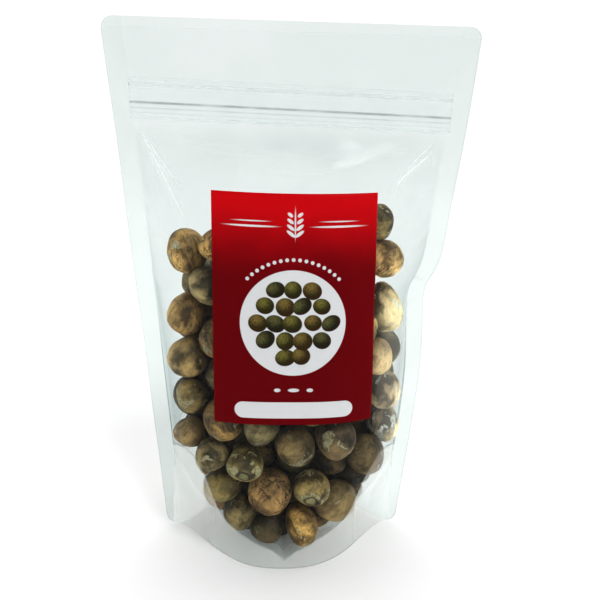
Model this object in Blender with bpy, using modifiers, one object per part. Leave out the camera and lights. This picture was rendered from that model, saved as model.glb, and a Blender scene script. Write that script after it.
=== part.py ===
# A clear stand-up pouch, filled with whole betel nuts and closed by a press
# zip, with a paper label on its front. Metres, +Z up, the front faces -Y.
# The origin is on the surface the pouch stands on, under its middle.
import math

import bmesh
import bpy
import numpy as np

MM = 0.001

# The flat pouch, as it is bought: 160 mm wide, with heat-sealed sides.
POUCH_WIDTH = 160 * MM
POUCH_HEIGHT = 257.4 * MM
SEAL_WIDTH = 8.5 * MM
SEAL_WIDTH_LOW = 5.5 * MM       # the belly comes closer to the edge at the base
FILM_HALF = 0.45 * MM           # half the thickness of the two welded films
TOP_CORNER_RADIUS = 5.5 * MM
HEADER_LEAN = 3.4 * MM          # how far the empty top leans to the front

# The filled pouch draws its sides in towards the base.
BASE_HALF_WIDTH = 62.5 * MM
BASE_CORNER_RADIUS = 6 * MM     # height of the round at the seal's lower corner
BASE_CORNER_CUT = 3.6 * MM      # and how far it comes in
CORNER_LIFT = 1.0 * MM          # the seals' lower corners stay just off the table
RIM_REACH = 36 * MM             # the base rim's reach to front and back
RIM_FLAT_HALF = 30 * MM         # half the length of the level part of the rim
EAR_TOP = 58 * MM               # the curved base seal ends at the sides here

# The right seal is buckled inwards at one place.
BUCKLE_DEPTH = 5 * MM
BUCKLE_HEIGHT = 137 * MM
BUCKLE_ABOVE = 12 * MM
BUCKLE_BELOW = 30 * MM

# How far the belly stands out in front of the seals' plane, by height.
BELLY_STATIONS = [
    (0 * MM, RIM_REACH),
    (30 * MM, 37.6 * MM),
    (60 * MM, 38.4 * MM),
    (85 * MM, 37.2 * MM),
    (110 * MM, 34.0 * MM),
    (136 * MM, 29.2 * MM),
    (160 * MM, 24.4 * MM),
    (188 * MM, 17.8 * MM),
    (200 * MM, 12.4 * MM),
    (208 * MM, 6.6 * MM),
    (214 * MM, 2.4 * MM),
    (219 * MM, 0.9 * MM),
    (POUCH_HEIGHT, FILM_HALF),
]

# Across a section the belly's reach falls as (1 - across^round)^power.
RIM_ROUND = 2.6
RIM_POWER = 1.7
LENS_ROUND = 2.8
LENS_POWER = 0.5
ARCH_ROUND = 2.0
ARCH_POWER = 1.0
FILL_TOP_LOW = 95 * MM          # the full lens turns into the arch from here
FILL_TOP_HIGH = 195 * MM        # and is all arch from here

# The press zip: an upper guide rib and a wider closing ridge under it.
ZIP_HEIGHT = 221.5 * MM
ZIP_RIDGE = 1.3 * MM
ZIP_PROUD = 1.0 * MM
GUIDE_HEIGHT = 229 * MM
GUIDE_RIDGE = 0.8 * MM
GUIDE_PROUD = 0.6 * MM
ZIP_TILT = 0.026                # the zip drops this much for each unit to +X
ZIP_TILT_FROM = 195 * MM
ZIP_TILT_TO = 250 * MM

# The nuts press through the film as low rounded bumps.
NUT_PITCH = 22 * MM
NUT_BUMP = 1.2 * MM
NUT_BUMP_RADIUS = 12 * MM
NUT_LOW = 20 * MM
NUT_HIGH = 158 * MM
NUT_SEED = 7

# The label, 74 by 105 mm when flat, lies on the front of the belly.
LABEL_CHORD = 73 * MM           # its width, measured straight across the curve
LABEL_LOW = 84.6 * MM
LABEL_HIGH = 188.4 * MM
LABEL_OFFSET_X = 2 * MM
LABEL_TURN = 0.012              # stuck on slightly askew: this much to -X a unit up
LABEL_THICKNESS = 0.35 * MM
LABEL_GAP = 0.3 * MM
LABEL_CLEAR = 7 * MM            # the bumps fade out this far from the label
LABEL_COLUMNS = 18
LABEL_ROWS = 20

BELLY_COLUMNS = 34
BELLY_ROW_STEP = 5 * MM
COLLECTION = "betel_nut_pouch"


def smooth_step(low, high, value):
    """0 below low, 1 above high, with a smooth rise between them."""
    share = np.clip((value - low) / (high - low), 0.0, 1.0)
    return share * share * (3.0 - 2.0 * share)


def belly_reach(height):
    """The belly's reach at its middle, smoothed between the stations."""
    heights = [station[0] for station in BELLY_STATIONS]
    reaches = [station[1] for station in BELLY_STATIONS]
    spread = 4 * MM
    samples = [np.interp(height + shift * spread, heights, reaches) for shift in (-1, -0.5, 0, 0.5, 1)]
    return np.mean(samples, axis=0)


def side_line(height, side):
    """The seal's edge without its round corners: a taper with one buckle."""
    slope = (POUCH_WIDTH / 2 - BASE_HALF_WIDTH) / POUCH_HEIGHT
    reach = BASE_HALF_WIDTH + slope * height
    if side > 0:
        spread = np.where(height > BUCKLE_HEIGHT, BUCKLE_ABOVE, BUCKLE_BELOW)
        reach = reach - BUCKLE_DEPTH * np.exp(-((height - BUCKLE_HEIGHT) / spread) ** 2)
    return reach


def side_reach(height, side):
    """The seal's outer edge, with quarter rounds at the base and the top."""
    into_base = np.clip(1.0 - height / BASE_CORNER_RADIUS, 0.0, 1.0)
    into_top = np.clip(1.0 - (POUCH_HEIGHT - height) / TOP_CORNER_RADIUS, 0.0, 1.0)
    cut = BASE_CORNER_CUT * (1.0 - np.sqrt(1.0 - into_base ** 2))
    cut = cut + TOP_CORNER_RADIUS * (1.0 - np.sqrt(1.0 - into_top ** 2))
    return side_line(height, side) - cut


def inner_reach(height, side):
    """Where the belly starts: inside the seal, which is narrower at the base."""
    widening = smooth_step(0.0, EAR_TOP, height)
    return side_line(height, side) - SEAL_WIDTH_LOW - (SEAL_WIDTH - SEAL_WIDTH_LOW) * widening


def section_share(across, height):
    """The belly's reach across a level section, as a share of its middle.

    Across runs from -1 to 1 between the seals. At the base it is bell shaped,
    because the curved base seal pinches the lower corners flat. The filled
    part is a full, round lens, and under the zip it thins to a flat arch.
    """
    pinch = 1.0 - smooth_step(0.0, EAR_TOP, height)
    empty = smooth_step(FILL_TOP_LOW, FILL_TOP_HIGH, height)
    roundness = LENS_ROUND + (RIM_ROUND - LENS_ROUND) * pinch + (ARCH_ROUND - LENS_ROUND) * empty
    power = LENS_POWER + (RIM_POWER - LENS_POWER) * pinch + (ARCH_POWER - LENS_POWER) * empty
    return (1.0 - np.abs(across) ** roundness) ** power


def nut_centres(phase):
    """Staggered rows of nuts behind the film, each a little out of place."""
    draw = np.random.default_rng(NUT_SEED + phase)
    centres = []
    row = 0
    height = NUT_LOW + 6 * MM
    while height < NUT_HIGH:
        half = inner_reach(height, 1) - 6 * MM
        start = -half + NUT_PITCH * (0.5 if (row + phase) % 2 else 0.1)
        for place in np.arange(start, half, NUT_PITCH):
            shift = draw.uniform(-0.14, 0.14, 2) * NUT_PITCH
            centres.append((place + shift[0], height + shift[1]))
        height += NUT_PITCH * 0.87
        row += 1
    return centres


def nut_relief(x, z, centres, label_side):
    """Low rounded bumps over the nuts, fading to nothing round the label."""
    relief = np.zeros_like(x)
    for centre_x, centre_z in centres:
        away = ((x - centre_x) ** 2 + (z - centre_z) ** 2) / NUT_BUMP_RADIUS ** 2
        relief = np.maximum(relief, NUT_BUMP * np.clip(1.0 - away, 0.0, 1.0) ** 1.5)
    if label_side:
        beside = np.abs(x - LABEL_OFFSET_X) - LABEL_CHORD / 2
        past_ends = np.maximum(LABEL_LOW - z, z - LABEL_HIGH)
        outside = np.maximum(beside, past_ends)
        relief = relief * smooth_step(2 * MM, 2 * MM + LABEL_CLEAR, outside)
    return relief


def zip_relief(x, height):
    """The zip's two ridges, pressed flat where they run into the seals."""
    ridge = ZIP_PROUD * (np.abs(height - ZIP_HEIGHT) <= ZIP_RIDGE)
    guide = GUIDE_PROUD * (np.abs(height - GUIDE_HEIGHT) <= GUIDE_RIDGE)
    inner = inner_reach(height, 1)
    return (ridge + guide) * (1.0 - smooth_step(inner - 3 * MM, inner, np.abs(x)))


def row_heights():
    """Level rows: even over the belly, closer at the zip and the top."""
    rows = [0.0, 2.5 * MM, 6 * MM]
    rows += list(np.arange(11 * MM, 205 * MM, BELLY_ROW_STEP))
    rows += [208 * MM, 212 * MM, 216 * MM]
    for middle, half in ((ZIP_HEIGHT, ZIP_RIDGE), (GUIDE_HEIGHT, GUIDE_RIDGE)):
        rows += [middle - half - 0.6 * MM, middle - half, middle + half, middle + half + 0.6 * MM]
    rows += [236 * MM, 244 * MM]
    for degrees in (0, 30, 55, 75, 90):
        rows.append(POUCH_HEIGHT - TOP_CORNER_RADIUS * (1.0 - math.sin(math.radians(degrees))))
    return np.array(rows)


def column_shares():
    """Columns across a row: both seal edges, then the belly between them."""
    turn = np.linspace(-1.0, 1.0, BELLY_COLUMNS + 1)
    belly = 0.45 * turn + 0.55 * np.sin(turn * math.pi / 2)
    return belly


def pouch_side(facing, phase):
    """One film of the pouch as a grid of points, from seal edge to seal edge."""
    rows = row_heights()
    belly = column_shares()
    centres = nut_centres(phase)
    grid = []
    for height in rows:
        left = side_reach(height, -1)
        right = side_reach(height, 1)
        inner_left = inner_reach(height, -1)
        inner_right = inner_reach(height, 1)
        x = np.where(belly < 0, belly * inner_left, belly * inner_right)
        bulge = belly_reach(height) - FILM_HALF
        reach = FILM_HALF + bulge * section_share(belly, height)
        fade = smooth_step(NUT_LOW - 12 * MM, NUT_LOW + 4 * MM, height)
        fade = fade * (1.0 - smooth_step(NUT_HIGH, NUT_HIGH + 14 * MM, height))
        edge_fade = smooth_step(0.0, 0.25, 1.0 - np.abs(belly))
        reach = reach + fade * edge_fade * nut_relief(x, np.full_like(x, height), centres, facing < 0)
        reach = reach + zip_relief(x, height)
        left_seal = [-left, -(left + inner_left) / 2]
        right_seal = [(right + inner_right) / 2, right]
        x = np.concatenate([left_seal, x, right_seal])
        reach = np.concatenate([[FILM_HALF] * 2, reach, [FILM_HALF] * 2])
        grid.append(np.stack([x, facing * reach, np.full_like(x, height)], axis=1))
    grid = np.array(grid)
    height = grid[:, :, 2].copy()
    grid[:, :, 1] -= HEADER_LEAN * smooth_step(60 * MM, POUCH_HEIGHT, height)
    tilt = smooth_step(ZIP_TILT_FROM, ZIP_HEIGHT, height) * (1.0 - smooth_step(GUIDE_HEIGHT, ZIP_TILT_TO, height))
    grid[:, :, 2] -= ZIP_TILT * grid[:, :, 0] * tilt
    lift = CORNER_LIFT * smooth_step(RIM_FLAT_HALF, BASE_HALF_WIDTH, np.abs(grid[:, :, 0]))
    grid[:, :, 2] += lift * (1.0 - smooth_step(0.0, 45 * MM, height))
    return grid


def skin(mesh, front, back):
    """Join the front and back grids into one closed body."""
    def point_rows(grid):
        return [[mesh.verts.new(point) for point in row] for row in grid]

    front_rows = point_rows(front)
    back_rows = point_rows(back)
    last = len(front_rows[0]) - 1
    for low, high, low_back, high_back in zip(front_rows, front_rows[1:], back_rows, back_rows[1:]):
        for column in range(last):
            mesh.faces.new((low[column], low[column + 1], high[column + 1], high[column]))
            mesh.faces.new((low_back[column + 1], low_back[column], high_back[column], high_back[column + 1]))
        mesh.faces.new((low_back[0], low[0], high[0], high_back[0]))
        mesh.faces.new((low[last], low_back[last], high_back[last], high[last]))
    for column in range(last):
        mesh.faces.new((
            front_rows[0][column + 1], front_rows[0][column],
            back_rows[0][column], back_rows[0][column + 1],
        ))
        mesh.faces.new((
            front_rows[-1][column], front_rows[-1][column + 1],
            back_rows[-1][column + 1], back_rows[-1][column],
        ))


def new_object(name, mesh, collection):
    """Turn a bmesh into a named, smoothly shaded object."""
    bmesh.ops.recalc_face_normals(mesh, faces=mesh.faces)
    data = bpy.data.meshes.new(name)
    mesh.to_mesh(data)
    mesh.free()
    data.shade_smooth()
    data.set_sharp_from_angle(angle=math.radians(35))
    made = bpy.data.objects.new(name, data)
    collection.objects.link(made)
    return made


def material(name, colour, roughness, alpha=1.0):
    """A Principled material with one colour."""
    made = bpy.data.materials.new(name)
    made.use_nodes = True
    shader = made.node_tree.nodes["Principled BSDF"]
    shader.inputs["Base Color"].default_value = (*colour, 1.0)
    shader.inputs["Roughness"].default_value = roughness
    shader.inputs["Metallic"].default_value = 0.0
    shader.inputs["Alpha"].default_value = alpha
    return made


def add_pouch(collection):
    """The filled pouch: front and back films, seals, zip and standing rim."""
    mesh = bmesh.new()
    skin(mesh, pouch_side(-1, 0), pouch_side(1, 1))
    pouch = new_object("pouch", mesh, collection)
    pouch.data.materials.append(material("clear_film_over_nuts", (0.36, 0.29, 0.19), 0.25))
    return pouch


def label_point(across, up):
    """A point of the label's back: it follows the front of the belly."""
    z = LABEL_LOW + up * (LABEL_HIGH - LABEL_LOW)
    x = LABEL_OFFSET_X + across * LABEL_CHORD / 2 - LABEL_TURN * (z - (LABEL_LOW + LABEL_HIGH) / 2)
    inner = inner_reach(z, math.copysign(1, x))
    reach = FILM_HALF + (belly_reach(z) - FILM_HALF) * section_share(x / inner, z)
    y = -reach - HEADER_LEAN * smooth_step(60 * MM, POUCH_HEIGHT, z)
    return (x, y - LABEL_GAP, z)


def add_label(collection):
    """The label: an open sheet on the belly, thickened to the front."""
    mesh = bmesh.new()
    rows = []
    for up in np.linspace(0, 1, LABEL_ROWS + 1):
        row = [mesh.verts.new(label_point(across, up)) for across in np.linspace(-1, 1, LABEL_COLUMNS + 1)]
        rows.append(row)
    for low, high in zip(rows, rows[1:]):
        for column in range(LABEL_COLUMNS):
            mesh.faces.new((low[column], low[column + 1], high[column + 1], high[column]))
    data = bpy.data.meshes.new("label")
    mesh.to_mesh(data)
    mesh.free()
    data.shade_smooth()
    label = bpy.data.objects.new("label", data)
    collection.objects.link(label)
    wall = label.modifiers.new("Thickness", "SOLIDIFY")
    wall.thickness = LABEL_THICKNESS
    wall.offset = 1.0
    label.data.materials.append(material("printed_label", (0.52, 0.02, 0.03), 0.35))
    return label


def main():
    for old in list(bpy.data.objects):
        bpy.data.objects.remove(old, do_unlink=True)
    collection = bpy.data.collections.new(COLLECTION)
    bpy.context.scene.collection.children.link(collection)
    add_pouch(collection)
    add_label(collection)


main()
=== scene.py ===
import math

import bpy
import numpy as np
from mathutils import Matrix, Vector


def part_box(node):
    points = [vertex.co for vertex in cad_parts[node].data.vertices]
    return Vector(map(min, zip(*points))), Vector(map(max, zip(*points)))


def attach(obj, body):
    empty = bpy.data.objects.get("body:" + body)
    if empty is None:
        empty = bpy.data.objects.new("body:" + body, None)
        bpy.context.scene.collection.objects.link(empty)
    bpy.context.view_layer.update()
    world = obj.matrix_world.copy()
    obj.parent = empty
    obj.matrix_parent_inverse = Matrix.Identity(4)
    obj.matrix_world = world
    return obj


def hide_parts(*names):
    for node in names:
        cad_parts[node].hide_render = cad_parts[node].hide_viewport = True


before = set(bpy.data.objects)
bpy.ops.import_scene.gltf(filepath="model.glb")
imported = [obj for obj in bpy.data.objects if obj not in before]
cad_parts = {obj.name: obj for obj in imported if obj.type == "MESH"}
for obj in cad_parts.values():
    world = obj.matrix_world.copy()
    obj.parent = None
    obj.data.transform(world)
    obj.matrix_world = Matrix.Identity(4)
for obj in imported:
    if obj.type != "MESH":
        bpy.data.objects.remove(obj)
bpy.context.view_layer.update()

mm = 0.001
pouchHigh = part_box("pouch")[1]

# camera
view = {
    "imageSize": 600,               # pixels each way in the photograph
    "focalPixels": 700.0,
    "sensor": 36.0,
    "place": (-13.75 * mm, -316.4 * mm, 254.6 * mm),
    "down": math.radians(21.19),
    "turnRight": math.radians(3.57),
    "roll": math.radians(-1.82),
}


def cameraAxes():
    # the directions of sight, image right and image down
    down, turn, roll = view["down"], view["turnRight"], view["roll"]
    sight = np.array([math.sin(turn) * math.cos(down), math.cos(turn) * math.cos(down), -math.sin(down)])
    levelRight = np.array([math.cos(turn), -math.sin(turn), 0.0])
    levelDown = np.cross(sight, levelRight)
    right = levelRight * math.cos(roll) + levelDown * math.sin(roll)
    below = levelDown * math.cos(roll) - levelRight * math.sin(roll)
    return sight, right, below


def addPlaced(data, axes, place):
    # links an object whose own axes are the columns of a 3 by 3 array
    made = bpy.data.objects.new(data.name, data)
    turn = np.eye(4)
    turn[:3, :3] = axes
    turn[:3, 3] = place
    made.matrix_world = Matrix(turn.tolist())
    bpy.context.scene.collection.objects.link(made)
    return made


def makeCamera():
    # the lens follows from the focal length in pixels
    sight, right, below = cameraAxes()
    data = bpy.data.cameras.new("camera")
    data.lens = view["sensor"] * view["focalPixels"] / view["imageSize"]
    data.sensor_width = view["sensor"]
    data.clip_start = 0.01
    bpy.context.scene.camera = addPlaced(data, np.stack([right, -below, -sight], axis=1), view["place"])


makeCamera()
print("camera placed")


# mesh and material helpers
def smoothStep(low, high, value):
    # 0 below low, 1 above high, a smooth rise between
    share = np.clip((value - low) / (high - low), 0.0, 1.0)
    return share * share * (3.0 - 2.0 * share)


def gridFaces(rows, columns, wrapRows=False, wrapColumns=False, first=0):
    # four-sided faces of a grid whose points are numbered along its rows
    rowIndex = np.arange(rows if wrapRows else rows - 1)
    columnIndex = np.arange(columns if wrapColumns else columns - 1)
    r, c = np.meshgrid(rowIndex, columnIndex, indexing="ij")
    here, above = r * columns, (r + 1) % rows * columns
    after = (c + 1) % columns
    corners = [here + c, here + after, above + after, above + c]
    return first + np.stack(corners, axis=-1).reshape(-1, 4)


def meshObject(name, points, quads, others=()):
    # quads is an array of four corners a face, others a list of faces with any number
    points = np.asarray(points, dtype=np.float32).reshape(-1, 3)
    counts = [np.full(len(quads), 4)] + [np.array([len(face)]) for face in others]
    corners = [np.asarray(quads).reshape(-1)] + [np.array(face) for face in others]
    counts, corners = np.concatenate(counts), np.concatenate(corners)
    mesh = bpy.data.meshes.new(name)
    mesh.vertices.add(len(points))
    mesh.vertices.foreach_set("co", points.reshape(-1))
    mesh.loops.add(len(corners))
    mesh.loops.foreach_set("vertex_index", corners.astype(np.int32))
    mesh.polygons.add(len(counts))
    mesh.polygons.foreach_set("loop_start", (np.cumsum(counts) - counts).astype(np.int32))
    mesh.polygons.foreach_set("loop_total", counts.astype(np.int32))
    mesh.update(calc_edges=True)
    mesh.validate()
    mesh.shade_smooth()
    piece = bpy.data.objects.new(name, mesh)
    bpy.context.scene.collection.objects.link(piece)
    return piece


def pointValues(piece, name, values):
    # one value, one vector or one colour for each point
    values = np.asarray(values, dtype=np.float32).reshape(len(piece.data.vertices), -1)
    kinds = {1: ("FLOAT", "value"), 3: ("FLOAT_VECTOR", "vector"), 4: ("FLOAT_COLOR", "color")}
    kind, field = kinds[values.shape[1]]
    piece.data.attributes.new(name, kind, "POINT").data.foreach_set(field, values.reshape(-1))


def dress(piece, material, nodeName):
    # gives a piece its finish, hangs it under the root and hides the part node it stands for
    piece.data.materials.append(material)
    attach(piece, "root")
    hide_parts(nodeName)


building = {}                       # the node tree that new nodes go to


def newTree(owner):
    # starts the shader of a material or of the world
    owner.use_nodes = True
    owner.node_tree.nodes.clear()
    building["tree"] = owner.node_tree
    return owner


def addNode(kind, settings=None, **inputs):
    # a shader node; an input takes a value, or another node's socket to link
    tree = building["tree"]
    made = tree.nodes.new("ShaderNode" + kind)
    for key, value in (settings or {}).items():
        setattr(made, key, value)
    for key, value in inputs.items():
        place = int(key[1:]) if key[1:].isdigit() else key.replace("_", " ")
        if isinstance(value, bpy.types.NodeSocket):
            tree.links.new(value, made.inputs[place])
        else:
            made.inputs[place].default_value = value
    return made


def calc(operation, first, second=0.0, third=0.0, clamp=False):
    # one sum on numbers
    settings = {"operation": operation, "use_clamp": clamp}
    return addNode("Math", settings, i0=first, i1=second, i2=third).outputs[0]


def times(first, second):
    return calc("MULTIPLY", first, second)


def scaled(first, second, added):
    # first times second, plus a third
    return calc("MULTIPLY_ADD", first, second, added)


def noise(place, scale, detail, roughness=0.5, distortion=0.0):
    # cloudy values round a half
    made = addNode("TexNoise", Vector=place, Scale=scale, Detail=detail, Roughness=roughness,
                   Distortion=distortion)
    return made.outputs["Fac"]


def vector(operation, first, second=(0, 0, 0), third=(0, 0, 0)):
    # a vector, or its length where that is asked for
    made = addNode("VectorMath", {"operation": operation}, i0=first, i1=second, i2=third)
    return made.outputs["Value" if operation in ("LENGTH", "DISTANCE") else "Vector"]


def stretch(place, scale):
    # a small scale on one axis draws a pattern out along it
    return addNode("Mapping", Vector=place, Scale=scale).outputs[0]


def fitRound(place, middle, half, turn=0.0):
    # the place measured from a middle, in half widths
    return addNode("Mapping", {"vector_type": "TEXTURE"}, Vector=place, Location=middle, Scale=half,
                   Rotation=(0, 0, turn)).outputs[0]


def carried(name, output="Fac"):
    # what the mesh carries at each point
    return addNode("Attribute", {"attribute_name": name}).outputs[output]


def ownPlace():
    # metres, in the frame of the whole object
    return addNode("TexCoord").outputs["Object"]


def split(place):
    return addNode("SeparateXYZ", Vector=place).outputs


def mixShader(share, first, second):
    return addNode("MixShader", i0=share, i1=first.outputs[0], i2=second.outputs[0])


def rise(value, low, high, toLow=0.0, toHigh=1.0):
    # a clamped ramp from one value to another
    settings = {"interpolation_type": "SMOOTHSTEP"}
    return addNode("MapRange", settings, i0=value, i1=low, i2=high, i3=toLow, i4=toHigh).outputs[0]


def within(value, low, high):
    # 1 below low, falling to 0 at high
    return rise(value, low, high, 1.0, 0.0)


def glossByAngle(faceOn, edgeOn):
    # mirror share of a thin film, the same from both sides: it rises as (1 - cosine)^5
    facing = addNode("LayerWeight", Blend=0.5).outputs["Facing"]
    return scaled(calc("POWER", facing, 5.0), edgeOn - faceOn, faceOn)


def blend(share, first, second):
    # between two numbers
    return addNode("Mix", i0=share, i2=first, i3=second).outputs[0]


def blendColour(share, first, second, mode="MIX"):
    # a colour is three numbers, or another node's socket
    first, second = [(*value, 1) if isinstance(value, tuple) else value for value in (first, second)]
    settings = {"data_type": "RGBA", "blend_type": mode}
    return addNode("Mix", settings, i0=share, i6=first, i7=second).outputs[2]


def showSurface(shader, kind="OutputMaterial"):
    # the last node of a material, or of the world
    addNode(kind, Surface=shader.outputs[0])


# pouch shape: the same form as the solid, in level sections
pouch = {
    "topHalfWidth": 80.0 * mm,
    "baseHalfWidth": 62.5 * mm,
    "height": float(pouchHigh[2]),
    "sealWidth": 8.5 * mm,
    "sealWidthLow": 5.5 * mm,
    "halfFilm": 0.45 * mm,          # from the middle plane to each welded film
    "topCorner": 5.5 * mm,
    "baseCorner": 6.0 * mm,
    "baseCornerCut": 3.6 * mm,
    "cornerLift": 1.0 * mm,
    "rimLevelHalf": 30.0 * mm,
    "earTop": 58.0 * mm,
    "headerLean": 3.4 * mm,
    "buckle": (137.0 * mm, 5.0 * mm, 12.0 * mm, 30.0 * mm),   # height, depth, spread above and below
    # belly reach at its middle, by height
    "bellyHeights": np.array([0, 30, 60, 85, 110, 136, 160, 188, 200, 208, 214, 219, 257.4]) * mm,
    "bellyReaches": np.array([36, 37.6, 38.4, 37.2, 34, 29.2, 24.4, 17.8, 12.4, 6.6, 2.4, 0.9, 0.45]) * mm,
    "rimRound": (2.6, 1.7),         # a section falls off as (1 - across^round)^power
    "lensRound": (2.8, 0.5),
    "archRound": (2.0, 1.0),
    "archFrom": 95.0 * mm,
    "archTo": 195.0 * mm,
}


def sideLine(z, onRight):
    # half width of the pouch: a straight taper with one buckle on the right
    taper = (pouch["topHalfWidth"] - pouch["baseHalfWidth"]) / pouch["height"]
    middle, depth, above, below = pouch["buckle"]
    spread = np.where(z > middle, above, below)
    return pouch["baseHalfWidth"] + taper * z - onRight * depth * np.exp(-((z - middle) / spread) ** 2)


def sideEdge(z, onRight):
    # the same with its round corners at the base and the top
    intoBase = np.clip(1.0 - z / pouch["baseCorner"], 0.0, 1.0)
    intoTop = np.clip(1.0 - (pouch["height"] - z) / pouch["topCorner"], 0.0, 1.0)
    cut = pouch["baseCornerCut"] * (1.0 - np.sqrt(1.0 - intoBase ** 2))
    return sideLine(z, onRight) - cut - pouch["topCorner"] * (1.0 - np.sqrt(1.0 - intoTop ** 2))


def sealEdge(z, onRight):
    # where the side seal ends and the belly starts
    widening = pouch["sealWidth"] - pouch["sealWidthLow"]
    return sideLine(z, onRight) - (pouch["sealWidthLow"] + widening * smoothStep(0.0, pouch["earTop"], z))


def bellyReach(z):
    # the mean over five heights nearby rounds the corners of the measured line
    heights, reaches = pouch["bellyHeights"], pouch["bellyReaches"]
    return np.mean([np.interp(z + shift * mm, heights, reaches) for shift in (-4, -2, 0, 2, 4)], axis=0)


def sectionShare(across, z):
    # bell shaped at the pinched rim, a full lens round the nuts, a low arch under the zip
    pinch = 1.0 - smoothStep(0.0, pouch["earTop"], z)
    empty = smoothStep(pouch["archFrom"], pouch["archTo"], z)
    rim, lens, arch = pouch["rimRound"], pouch["lensRound"], pouch["archRound"]
    roundness = lens[0] + (rim[0] - lens[0]) * pinch + (arch[0] - lens[0]) * empty
    power = lens[1] + (rim[1] - lens[1]) * pinch + (arch[1] - lens[1]) * empty
    return (1.0 - np.clip(across, 0.0, 1.0) ** roundness) ** power


def plainReach(x, z):
    # distance of the smooth film from the pouch's middle plane
    edge = sealEdge(z, x >= 0)
    return pouch["halfFilm"] + (bellyReach(z) - pouch["halfFilm"]) * sectionShare(np.abs(x) / edge, z)


def lean(z):
    # the empty top leans to the front
    return pouch["headerLean"] * smoothStep(60.0 * mm, pouch["height"], z)


# the curved base seal: its height by distance from the middle
baseSeal = {
    "across": np.array([0, 3, 6, 14, 21, 29, 33, 35, 37, 39, 42, 45, 49, 54, 57.5, 59.5, 70]) * mm,
    "height": np.array([6, 9, 12, 16, 19.5, 25.5, 31, 38, 46, 53, 59, 63, 65, 62, 56, 2, 1]) * mm,
    "middleHeight": 1.6 * mm,       # of the base film over the table at the pouch's middle
    "middleRise": 46.0 * mm,
    "risePower": 2.6,
    "riseAcross": 58.0 * mm,
}


def baseSealHeight(x):
    # straight between the measured points, the same on both sides
    return np.interp(np.abs(x), baseSeal["across"], baseSeal["height"])


def baseFilmHeight(x, y):
    # the base film hangs between the front and the back of the base seal
    top = baseSealHeight(x)
    across = np.abs(x) / baseSeal["riseAcross"]
    middle = baseSeal["middleHeight"] + baseSeal["middleRise"] * across ** baseSeal["risePower"]
    middle = np.minimum(middle, top - 0.5 * mm)
    share = np.clip(np.abs(y + lean(top)) / plainReach(x, top), 0.0, 1.0)
    return middle + (top - middle) * share ** 2


# the nuts seen from the front, one a row: middle in pixels, width and height in mm, depth in mm
# behind the film, kind, lean of the long axis to the right in degrees, or None where the nut's
# eye faces the viewer, and tone; the high tones of the right-hand nuts are painted light
seenNuts = [
    (185, 253, 17.5, 23.0, 0, "streaked", -8, 1.20),
    (213, 247, 18.0, 18.0, 0, "veined", 20, 1.15),
    (205, 290, 20.0, 18.5, 0, "mottled", 60, 1.00),
    (187, 312, 18.5, 21.5, 0, "streaked", 10, 1.00),
    (209, 342, 20.0, 21.0, 0, "veined", -15, 0.80),
    (190, 356, 19.0, 21.5, 0, "smooth", 15, 1.25),
    (195, 397, 18.0, 16.5, 0, "peeled", 80, 1.05),
    (220, 418, 18.5, 23.0, 0, "streaked", -25, 0.85),
    (195, 425, 16.5, 17.0, 7, "smooth", 30, 0.90),
    (215, 447, 16.5, 17.0, 3, "mottled", -20, 1.15),
    (243, 466, 18.5, 18.5, 0, "peeled", None, 1.15),
    (228, 485, 19.5, 21.5, 1, "smooth", 40, 0.70),
    (270, 489, 22.5, 24.5, 0, "veined", 20, 1.10),
    (262, 428, 19.5, 18.0, 0, "mottled", 75, 0.65),
    (293, 443, 21.0, 20.0, 2, "peeled", 40, 0.80),
    (338, 438, 22.5, 21.5, 0, "dark", 60, 0.90),
    (373, 426, 17.0, 20.5, 3, "peeled", 0, 2.40),
    (365, 459, 16.0, 16.5, 8, "smooth", 0, 1.20),
    (317, 489, 18.5, 19.5, 0, "peeled", None, 1.15),
    (345, 487, 20.5, 25.0, 3, "smooth", 25, 0.95),
    (344, 466, 17.0, 19.0, 9, "veined", 0, 0.65),
    (300, 523, 22.0, 17.0, 0, "streaked", 80, 1.20),
    (262, 513, 17.5, 17.0, 8, "dark", 30, 0.50),
    (377, 222, 17.0, 17.0, 1, "mottled", 30, 0.95),
    (384, 259, 19.5, 19.0, 0, "streaked", 30, 1.90),
    (381, 310, 18.0, 26.0, 0, "smooth", -5, 2.60),
    (366, 329, 16.0, 16.0, 0, "streaked", 60, 1.90),
    (376, 358, 18.0, 18.5, 0, "smooth", 10, 1.90),
    (382, 389, 17.5, 21.5, 0, "smooth", -10, 2.20),
]
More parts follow.
